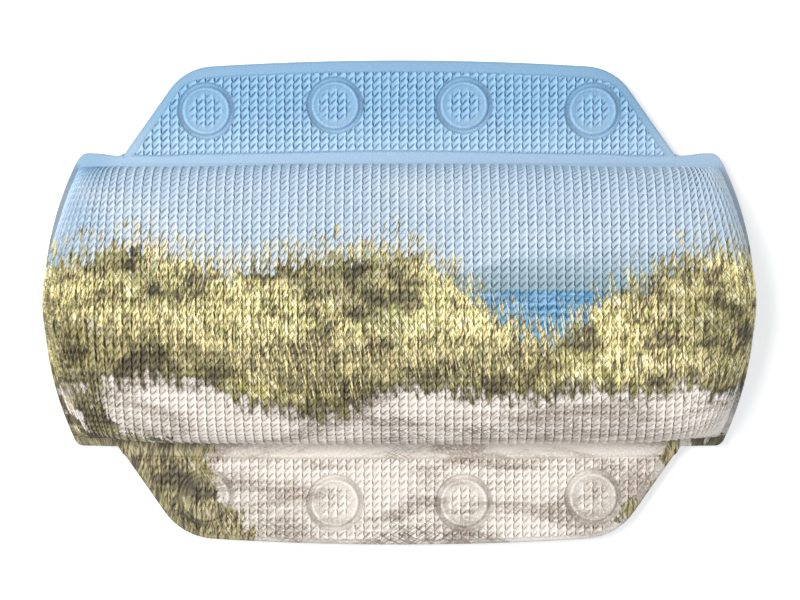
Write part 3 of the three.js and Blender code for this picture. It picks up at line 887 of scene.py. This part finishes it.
def build_cup(centre):
    """One suction cup, spun round its axis"""
    bm = bmesh.new()
    verts = [bm.verts.new((radius * MM, 0, level * MM)) for radius, level in CUP_PROFILE]
    edges = [bm.edges.new(pair) for pair in zip(verts, verts[1:])]
    bmesh.ops.subdivide_edges(bm, edges=edges, cuts=1, smooth=1.0)
    turn = {"cent": (0, 0, 0), "axis": (0, 0, 1), "angle": 2 * math.pi, "steps": SPIN_STEPS}
    bmesh.ops.spin(bm, geom=bm.verts[:] + bm.edges[:], use_merge=True, **turn)
    bmesh.ops.remove_doubles(bm, verts=bm.verts, dist=1e-6)
    bmesh.ops.recalc_face_normals(bm, faces=bm.faces)
    bmesh.ops.translate(bm, verts=bm.verts, vec=(*centre, 0))
    return finish_mesh(bm, "cup")


# Materials


def add(tree, kind, inputs=None, **settings):
    """A new node with its settings, its inputs given as values or as other nodes' outputs"""
    made = tree.nodes.new(kind)
    for name, value in settings.items():
        setattr(made, name, value)
    for socket, value in (inputs or {}).items():
        if isinstance(value, bpy.types.NodeSocket):
            tree.links.new(value, made.inputs[socket])
        else:
            made.inputs[socket].default_value = value
    return made


def tree_of(*values):
    """The node tree of the first output among values"""
    return next(value.id_data for value in values if isinstance(value, bpy.types.NodeSocket))


def calculate(operation, *values):
    """Output of a Math node"""
    return add(tree_of(*values), "ShaderNodeMath", dict(enumerate(values)), operation=operation).outputs[0]


def product(first, second):
    """Output of two values multiplied"""
    return calculate("MULTIPLY", first, second)


def mix(factor, first, second, blend_type="MIX"):
    """Output of a colour mix"""
    inputs = {0: factor, 6: first, 7: second}
    for socket in (6, 7):
        if not isinstance(inputs[socket], bpy.types.NodeSocket):
            inputs[socket] = (*inputs[socket][:3], 1)
    tree = tree_of(factor, first, second)
    return add(tree, "ShaderNodeMix", inputs, data_type="RGBA", blend_type=blend_type).outputs[2]


def step_between(value, low, high, start=0.0, end=1.0):
    """Smooth step of a value from start to end"""
    return add(
        value.id_data,
        "ShaderNodeMapRange",
        {"Value": value, "From Min": low, "From Max": high, "To Min": start, "To Max": end},
        interpolation_type="SMOOTHSTEP",
    ).outputs[0]


def noise(place, scale, stretch=(1, 1, 1), turn=0.0, detail=3.0, rough=0.55, at=(0, 0, 0), distortion=0.0):
    """Noise whose features are turned by an angle and then drawn out"""
    mapped = add(
        place.id_data,
        "ShaderNodeMapping",
        {"Vector": place, "Location": at, "Rotation": (0, 0, math.radians(turn)), "Scale": stretch},
        vector_type="TEXTURE",
    ).outputs[0]
    return add(
        place.id_data,
        "ShaderNodeTexNoise",
        {"Vector": mapped, "Scale": scale, "Detail": detail, "Roughness": rough, "Distortion": distortion},
    ).outputs[0]


def hill_line(across, seed, height, swing, scale):
    """Height of a hill's skyline over the print's width"""
    wave = add(
        across.id_data,
        "ShaderNodeTexNoise",
        {"W": calculate("ADD", across, seed), "Scale": scale, "Detail": 5.0, "Roughness": 0.45},
        noise_dimensions="1D",
    ).outputs[0]
    centred = calculate("SUBTRACT", wave, 0.5)
    return calculate("MULTIPLY_ADD", centred, swing, height)


def new_group(name, inputs, outputs):
    """An empty node group with its sockets, and its input and output nodes"""
    group = bpy.data.node_groups.new(name, "ShaderNodeTree")
    for socket, kind in inputs:
        group.interface.new_socket(name=socket, in_out="INPUT", socket_type=kind)
    for socket, kind in outputs:
        group.interface.new_socket(name=socket, in_out="OUTPUT", socket_type=kind)
    return group, group.nodes.new("NodeGroupInput"), group.nodes.new("NodeGroupOutput")


def toned(colour, tone):
    """A colour multiplied by a tone, or by another colour"""
    return mix(1.0, colour, tone, "MULTIPLY")


def darker(colour, share):
    """A colour taken down to a share of itself"""
    return [share * part for part in colour]


def strokes(place, size, turn, low, high, at):
    """Mask of fine upright strokes, leaning by an angle"""
    form = {"stretch": (1, 12, 1), "turn": turn, "detail": 1.5, "rough": 0.5, "distortion": 0.25}
    return step_between(noise(place, 1 / size, at=at, **form), low, high)


def foliage(place, colours, seed, size, green):
    """Colour of a slope of heath: green and dry sprigs over dark gaps, in clumps and patches"""
    at = (seed * 3.1, seed * 1.7, 0)
    clump = noise(place, 6.0 / size, stretch=(1.3, 0.8, 1), at=at, detail=4.0, rough=0.6)
    patch = noise(place, 2.1 / size, at=(seed, 7, 0), detail=3.0)
    ground = mix(step_between(clump, 0.40, 0.62), colours.shade, colours.leaf)
    fresh = strokes(place, 0.0095 * size, 14, 0.47, 0.58, at)
    share = product(fresh, step_between(clump, 0.38, 0.52, 0.15, 0.9))
    picture = mix(share, ground, green)
    dry = strokes(place, 0.0085 * size, -17, 0.46, 0.56, (seed, 3, 0))
    dryness = step_between(patch, 0.38, 0.56, 0.25, 1.0)
    dryness = product(dryness, step_between(clump, 0.34, 0.50, 0.2, 1.0))
    picture = mix(product(dry, dryness), picture, colours.straw)
    pale = strokes(place, 0.0075 * size, 31, 0.52, 0.60, (3, seed, 0))
    glint = product(pale, step_between(clump, 0.44, 0.60, 0.05, 1.0))
    picture = mix(glint, picture, (0.90, 0.82, 0.58))
    gaps = strokes(place, 0.0090 * size, 4, 0.46, 0.37, (9, seed, 0))
    picture = mix(product(gaps, 0.9), picture, colours.shade)
    hollow = noise(place, 1.5 / size, stretch=(1.5, 0.8, 1), turn=-20, at=(3, seed, 0), detail=3.0)
    return toned(picture, step_between(hollow, 0.36, 0.60, 0.60, 1.38))


def landscape_group(colours):
    """Node group: a printed view of sky, hills, lake, heath and sand, at a place given in decimetres"""
    group, entry, leave = new_group(
        "Landscape print", [("Place", "NodeSocketVector")], [("Color", "NodeSocketColor")]
    )
    place = entry.outputs["Place"]
    parts = add(group, "ShaderNodeSeparateXYZ", {0: place})
    across, up = parts.outputs[0], parts.outputs[1]
    sky = mix(step_between(up, 0.35, 0.98), colours.low_sky, colours.middle_sky)
    sky = mix(step_between(up, 0.93, 1.25), sky, colours.high_sky)
    sky = mix(step_between(across, -1.15, -1.60, 0.0, 0.55), sky, colours.high_sky)
    veil = noise(place, 2.2, stretch=(2.6, 0.8, 1), turn=-7, detail=6.0, rough=0.55, distortion=0.4)
    cloud_share = product(step_between(veil, 0.47, 0.70), step_between(up, 0.9, 0.5))
    picture = mix(product(cloud_share, 0.6), sky, colours.cloud)

    def below(line, soft):
        return step_between(calculate("SUBTRACT", line, up), -soft, soft)

    def sloped(line, start, end, low, high):
        return calculate("ADD", line, step_between(across, start, end, low, high))

    far_line = sloped(hill_line(across, 3.0, 0.12, 0.22, 1.1), -0.4, 1.4, 0.0, 0.14)
    haze = mix(step_between(up, 0.02, 0.3), colours.far_hill, colours.low_sky)
    picture = mix(below(far_line, 0.012), picture, haze)
    ripple = noise(place, 22.0, stretch=(4.0, 0.5, 1), detail=4.0)
    lake = mix(step_between(ripple, 0.42, 0.62), colours.water, (0.20, 0.42, 0.62))
    picture = mix(below(hill_line(across, 9.0, 0.05, 0.02, 1.0), 0.006), picture, lake)
    ragged = noise(place, 30.0, stretch=(0.8, 2.6, 1), turn=9, detail=3.0)
    tuft = calculate("MULTIPLY_ADD", ragged, 0.34, -0.17)
    banks = (  # seed, height, swing and scale of the skyline, size of the plants, slope and green
        (21.0, 0.00, 0.26, 1.3, 0.8, (0.9, -0.2, -0.24, 0.20), (0.40, 0.44, 0.16)),
        (31.0, -0.22, 0.34, 1.0, 1.0, (0.3, 1.4, -0.08, 0.42), (0.42, 0.40, 0.13)),
        (43.0, -0.36, 0.30, 0.9, 1.15, (0.3, -1.5, -0.22, 0.26), (0.50, 0.46, 0.15)),
    )
    low = -2.0
    for seed, height, swing, scale, size, slope, green in banks:
        line = sloped(hill_line(across, seed, height, swing, scale), *slope)
        line = calculate("ADD", line, tuft)
        shadow = step_between(calculate("SUBTRACT", up, line), 0.16, 0.0, 0.0, 0.75)
        under = step_between(calculate("SUBTRACT", up, low), 0.0, -0.02)
        picture = mix(product(shadow, under), picture, colours.shade)
        heath = foliage(place, colours, seed, size, green)
        over = step_between(calculate("SUBTRACT", up, line), 0.24, 0.0, 0.0, 0.28)
        for turn, colour in ((13, colours.straw), (-19, (0.27, 0.24, 0.12))):
            form = {"stretch": (1, 22, 1), "turn": turn, "detail": 0.0, "at": (seed, turn, 0)}
            field = noise(place, 150.0 / size, **form)
            blade = step_between(calculate("ADD", field, over), 0.80, 0.87)
            blade = product(blade, step_between(over, 0.0, 0.05))
            picture = mix(blade, picture, colour)
        low = line
        picture = mix(below(line, 0.015), picture, heath)
    drift = noise(place, 4.0, stretch=(2.6, 0.8, 1), turn=6, detail=6.0, rough=0.65, distortion=0.8)
    grit = noise(place, 80.0, detail=3.0, rough=0.7)
    sand = mix(step_between(drift, 0.38, 0.56), colours.wet_sand, colours.sand)
    sand = mix(step_between(grit, 0.46, 0.70, 0.0, 0.8), sand, (0.93, 0.90, 0.86))
    litter_place = noise(place, 3.0, stretch=(1.8, 0.9, 1), at=(4, 2, 0), detail=3.0)
    litter_share = step_between(litter_place, 0.52, 0.68)
    for size, turn, seed in ((0.008, 64, 5), (0.007, -58, 8)):
        twigs = strokes(place, size, turn, 0.50, 0.58, (seed, 1, 0))
        share = product(twigs, litter_share)
        sand = mix(product(share, 0.7), sand, (0.20, 0.16, 0.12))
    line = calculate("ADD", hill_line(across, 57.0, -0.42, 0.60, 0.8), tuft)
    shadow = step_between(calculate("SUBTRACT", up, line), 0.12, 0.0, 0.0, 0.8)
    picture = mix(product(shadow, step_between(up, -0.2, -0.3)), picture, colours.shade)
    picture = mix(below(line, 0.03), picture, sand)
    near = sloped(hill_line(across, 71.0, -1.74, 0.5, 2.2), -0.25, -1.4, 0.0, 1.30)
    rough = noise(place, 7.0, stretch=(1.0, 1.4, 1), at=(2, 6, 0), detail=5.0, rough=0.65)
    rough = calculate("MULTIPLY_ADD", rough, 1.3, -0.65)
    near = calculate("ADD", sloped(near, 0.8, 1.4, 0.0, 0.9), calculate("ADD", tuft, rough))
    near_heath = foliage(place, colours, 83.0, 1.2, (0.34, 0.30, 0.12))
    near_heath = toned(mix(0.3, near_heath, (0.16, 0.14, 0.13)), (0.72, 0.72, 0.72))
    picture = mix(below(near, 0.03), picture, near_heath)
    speckle = noise(place, 170.0, detail=1.0)
    picture = toned(picture, step_between(speckle, 0.3, 0.7, 0.90, 1.08))
    group.links.new(picture, leave.inputs["Color"])
    return group


def grain_group():
    """Node group: the fine pebble grain of vinyl, as a height and a slight change of tone"""
    group, entry, leave = new_group(
        "Vinyl grain",
        [("Place", "NodeSocketVector"), ("Grains", "NodeSocketFloat")],
        [("Height", "NodeSocketFloat"), ("Tone", "NodeSocketFloat")],
    )
    place, grains = entry.outputs["Place"], entry.outputs["Grains"]
    pebbles = add(
        group, "ShaderNodeTexVoronoi", {"Vector": place, "Scale": grains}, feature="SMOOTH_F1"
    ).outputs[0]
    fine = add(group, "ShaderNodeTexNoise", {"Vector": place, "Scale": grains, "Detail": 3.0}).outputs[0]
    height = calculate("ADD", product(pebbles, -0.7), fine)
    group.links.new(height, leave.inputs["Height"])
    group.links.new(step_between(fine, 0.3, 0.7, 0.93, 1.05), leave.inputs["Tone"])
    return group


FINISHES = {
    "print": "Printed foam vinyl",
    "back": "Plain back vinyl",
    "cup": "Clear soft vinyl",
    "foam": "Open-cell foam",
}


def new_material(name):
    """The node tree and the Principled shader of a new material"""
    material = bpy.data.materials.new(name)
    material.use_nodes = True
    return material.node_tree, material.node_tree.nodes["Principled BSDF"]


def put_grain(tree, shader, grain, place, grains, strength, distance):
    """Adds the vinyl grain to a material's normal and returns its tone"""
    node = add(tree, "ShaderNodeGroup", node_tree=grain)
    tree.links.new(place, node.inputs["Place"])
    node.inputs["Grains"].default_value = grains
    values = {"Height": node.outputs["Height"], "Strength": strength, "Distance": distance}
    bump = add(tree, "ShaderNodeBump", values)
    tree.links.new(bump.outputs[0], shader.inputs["Normal"])
    return node.outputs["Tone"]


def make_materials(colours):
    """Makes the pieces' materials"""
    grain = grain_group()
    tree, shader = new_material(FINISHES["print"])
    place = add(tree, "ShaderNodeAttribute", attribute_name="print_place").outputs["Vector"]
    wide = add(tree, "ShaderNodeVectorMath", {0: place, 1: (10, 10, 10)}, operation="MULTIPLY").outputs[0]
    picture = add(tree, "ShaderNodeGroup", node_tree=landscape_group(colours))
    tree.links.new(wide, picture.inputs[0])
    tone = put_grain(tree, shader, grain, place, 2600.0, 0.35, 0.1 * MM)
    # painted shade in the embossing's grooves, slits and creases, and painted highlight on its ridges and
    # lips
    relief = add(tree, "ShaderNodeAttribute", attribute_name="painted_relief_shading").outputs["Fac"]
    painted_shading = step_between(relief, -0.36, 0.60, 0.12, 1.0)
    raised = step_between(relief, 0.62, 1.0, 1.0, 1.45)
    colour = toned(toned(toned(picture.outputs[0], tone), painted_shading), raised)
    tree.links.new(colour, shader.inputs["Base Color"])
    tree.links.new(step_between(tone, 0.93, 1.05, 0.62, 0.5), shader.inputs["Roughness"])

    tree, shader = new_material(FINISHES["back"])
    place = add(tree, "ShaderNodeTexCoord").outputs["Object"]
    tone = put_grain(tree, shader, grain, place, 1700.0, 0.4, 0.1 * MM)
    rub = noise(place, 30.0, detail=4.0)
    worn = step_between(rub, 0.35, 0.7)
    base = mix(worn, colours.back_vinyl, darker(colours.back_vinyl, 0.93))
    tree.links.new(toned(base, tone), shader.inputs["Base Color"])
    tree.links.new(step_between(rub, 0.3, 0.7, 0.42, 0.56), shader.inputs["Roughness"])

    tree, shader = new_material(FINISHES["cup"])
    place = add(tree, "ShaderNodeTexCoord").outputs["Object"]
    haze = noise(place, 120.0, detail=3.0)
    dull = step_between(haze, 0.3, 0.7)
    base = mix(dull, colours.cup_vinyl, darker(colours.cup_vinyl, 0.96))
    tree.links.new(base, shader.inputs["Base Color"])
    tree.links.new(step_between(haze, 0.3, 0.7, 0.10, 0.2), shader.inputs["Roughness"])
    shader.inputs["Transmission Weight"].default_value = 0.55
    shader.inputs["IOR"].default_value = 1.52

    tree, shader = new_material(FINISHES["foam"])
    place = add(tree, "ShaderNodeTexCoord").outputs["Object"]
    cells = add(
        tree, "ShaderNodeTexVoronoi", {"Vector": place, "Scale": 900.0}, feature="DISTANCE_TO_EDGE"
    ).outputs[0]
    # painted shade: each pore is darker away from its walls, where it sinks in
    wall = step_between(cells, 0.02, 0.2)
    tree.links.new(mix(wall, colours.foam, darker(colours.foam, 0.45)), shader.inputs["Base Color"])
    bump = add(tree, "ShaderNodeBump", {"Height": wall, "Strength": 0.7, "Distance": 0.4 * MM}, invert=True)
    tree.links.new(bump.outputs[0], shader.inputs["Normal"])
    shader.inputs["Roughness"].default_value = 0.95


def material_of(context, finish):
    """A material of the pillow, made on first use"""
    if FINISHES[finish] not in bpy.data.materials:
        make_materials(context.scene.pillow_colours)
    return bpy.data.materials[FINISHES[finish]]


def place_piece(context, name, mesh, finish, slot, *nodes):
    """Links a piece with its material and hides the CAD nodes that it replaces; the slot is not used"""
    mesh.name = name
    piece = link(name, mesh)
    mesh.materials.append(material_of(context, finish))
    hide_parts(*nodes)
    return piece


def bend_at_fold(piece):
    """Bakes a flap's sheet's placement into its mesh"""
    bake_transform(piece)


# Operators, one for each piece or group of like pieces


class PILLOW_OT_stage(bpy.types.Operator):
    """Make the floor, the soft lamps and the camera"""

    bl_idname = "pillow.stage"
    bl_label = "Stage"

    def execute(self, context):
        scene = context.scene
        scene.view_settings.view_transform = "Standard"
        world = bpy.data.worlds.new("Studio")
        scene.world = world
        world.use_nodes = True
        sky = world.node_tree.nodes["Background"].inputs
        sky["Color"].default_value = (0.93, 0.96, 1.0, 1)
        sky["Strength"].default_value = 0.40
        for name, at, size, power, colour in (
            ("Key lamp", (-0.42, 0.14, 1.20), 0.42, 10.6, (1.0, 0.985, 0.96)),
            ("Fill lamp", (0.7, -0.1, 1.3), 1.1, 2.2, (0.94, 0.97, 1.0)),
        ):
            lamp = bpy.data.lights.new(name, "AREA")
            lamp.shape = "SQUARE"
            lamp.size = size
            lamp.energy = power
            lamp.color = colour
            holder = link(name, lamp)
            holder.location = at
            holder.rotation_euler = Vector(at).to_track_quat("Z", "Y").to_euler()
        bm = bmesh.new()
        bmesh.ops.create_grid(bm, x_segments=4, y_segments=4, size=3)
        bmesh.ops.translate(bm, verts=bm.verts, vec=(0, 0, -0.4 * MM))
        floor = link("floor", finish_mesh(bm, "floor"))
        tree, shader = new_material("Pale floor")
        shader.inputs["Base Color"].default_value = (0.86, 0.86, 0.86, 1)
        shader.inputs["Roughness"].default_value = 0.8
        path = add(tree, "ShaderNodeLightPath").outputs
        seen = calculate("MAXIMUM", path["Is Camera Ray"], path["Is Glossy Ray"])
        seen = calculate("MAXIMUM", seen, path["Is Transmission Ray"])
        tree.links.new(calculate("MULTIPLY", seen, 0.46), shader.inputs["Emission Strength"])
        shader.inputs["Emission Color"].default_value = (1, 1, 1, 1)
        floor.data.materials.append(bpy.data.materials["Pale floor"])
        # the photograph was taken from straight above, and 1.1 m over the welds fits its embossing
        camera = bpy.data.cameras.new("Camera")
        camera.lens = 109
        camera.sensor_width = 36
        camera.clip_end = 20
        holder = link("Camera", camera)
        holder.location = (0.3 * MM, 1.13 * MM, 1.1 + WELD_LEVEL)
        scene.camera = holder
        return {"FINISHED"}


class PILLOW_OT_cover(bpy.types.Operator):
    """Make the printed, embossed sheet over the cushion"""

    bl_idname = "pillow.cover"
    bl_label = "Cushion cover"

    def execute(self, context):
        mesh = build_cover(context.scene.pillow_sizes)
        piece = place_piece(context, "cushion_cover", mesh, "print", "printed_sheet", "cushion_front_cover")
        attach(piece, "cushion")
        return {"FINISHED"}


class PILLOW_OT_foam(bpy.types.Operator):
    """Make the foam block inside the cushion"""

    bl_idname = "pillow.foam"
    bl_label = "Foam block"

    def execute(self, context):
        mesh = build_foam(context.scene.pillow_sizes)
        piece = place_piece(context, "cushion_foam", mesh, "foam", "foam", "foam_core")
        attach(piece, "cushion")
        return {"FINISHED"}


class PILLOW_OT_cushion_back(bpy.types.Operator):
    """Make the plain sheet behind the cushion"""

    bl_idname = "pillow.cushion_back"
    bl_label = "Cushion back"

    def execute(self, context):
        mesh = build_cushion_back(context.scene.pillow_sizes)
        piece = place_piece(context, "cushion_back", mesh, "back", "back_sheet", "cushion_back_cover")
        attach(piece, "cushion")
        return {"FINISHED"}


class PILLOW_OT_flap_fronts(bpy.types.Operator):
    """Make the two flaps' printed sheets with their ring welds"""

    bl_idname = "pillow.flap_fronts"
    bl_label = "Flap fronts"

    def execute(self, context):
        sizes = context.scene.pillow_sizes
        for name, side in SIDES.items():
            mesh = build_flap_front(sizes, side)
            turn_over(mesh, side)
            set_flap_print(mesh, sizes)
            piece = place_piece(
                context, f"{name}_flap_front", mesh, "print", "printed_sheet", f"{name}_flap_front_sheet"
            )
            bend_at_fold(piece)
        return {"FINISHED"}


class PILLOW_OT_flap_backs(bpy.types.Operator):
    """Make the two flaps' plain back sheets with the holes for the cups"""

    bl_idname = "pillow.flap_backs"
    bl_label = "Flap backs"

    def execute(self, context):
        sizes = context.scene.pillow_sizes
        for name, side in SIDES.items():
            mesh = build_flap_back(sizes, side)
            turn_over(mesh, side)
            piece = place_piece(
                context, f"{name}_flap_back", mesh, "back", "back_sheet", f"{name}_flap_back_sheet"
            )
            bend_at_fold(piece)
        return {"FINISHED"}


class PILLOW_OT_cups(bpy.types.Operator):
    """Make the eight suction cups"""

    bl_idname = "pillow.cups"
    bl_label = "Suction cups"

    def execute(self, context):
        for name in SIDES:
            for number in range(1, CUPS_PER_FLAP + 1):
                node = f"{name}_suction_cup_{number}"
                mesh = build_cup(cup_centre(node))
                piece = place_piece(context, f"cup_{name}_{number}", mesh, "cup", "soft_vinyl", node)
                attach(piece, f"{name}_cup_{number}")
        return {"FINISHED"}


class PILLOW_PT_panel(bpy.types.Panel):
    """The pillow's pieces and values in the sidebar"""

    bl_idname = "PILLOW_PT_panel"
    bl_label = "Bath pillow"
    bl_space_type = "VIEW_3D"
    bl_region_type = "UI"
    bl_category = "Bath pillow"

    def draw(self, context):
        for operator in OPERATORS:
            self.layout.operator(operator.bl_idname)
        for group in (context.scene.pillow_sizes, context.scene.pillow_colours):
            box = self.layout.box()
            for name in group.__annotations__:
                box.prop(group, name)


OPERATORS = (
    PILLOW_OT_stage,
    PILLOW_OT_cover,
    PILLOW_OT_foam,
    PILLOW_OT_cushion_back,
    PILLOW_OT_flap_fronts,
    PILLOW_OT_flap_backs,
    PILLOW_OT_cups,
)
CLASSES = (PillowSizes, PillowColours, *OPERATORS, PILLOW_PT_panel)


def register():
    """Registers the classes and puts the values on the scene"""
    for cls in CLASSES:
        bpy.utils.register_class(cls)
    bpy.types.Scene.pillow_sizes = bpy.props.PointerProperty(type=PillowSizes)
    bpy.types.Scene.pillow_colours = bpy.props.PointerProperty(type=PillowColours)


def unregister():
    """Takes back what register did"""
    del bpy.types.Scene.pillow_colours
    del bpy.types.Scene.pillow_sizes
    for cls in reversed(CLASSES):
        bpy.utils.unregister_class(cls)


def main():
    """Builds everything"""
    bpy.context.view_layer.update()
    register()
    bpy.ops.pillow.stage()
    bpy.ops.pillow.cover()
    bpy.ops.pillow.foam()
    bpy.ops.pillow.cushion_back()
    bpy.ops.pillow.flap_fronts()
    bpy.ops.pillow.flap_backs()
    bpy.ops.pillow.cups()


if __name__ == "__main__":
    main()
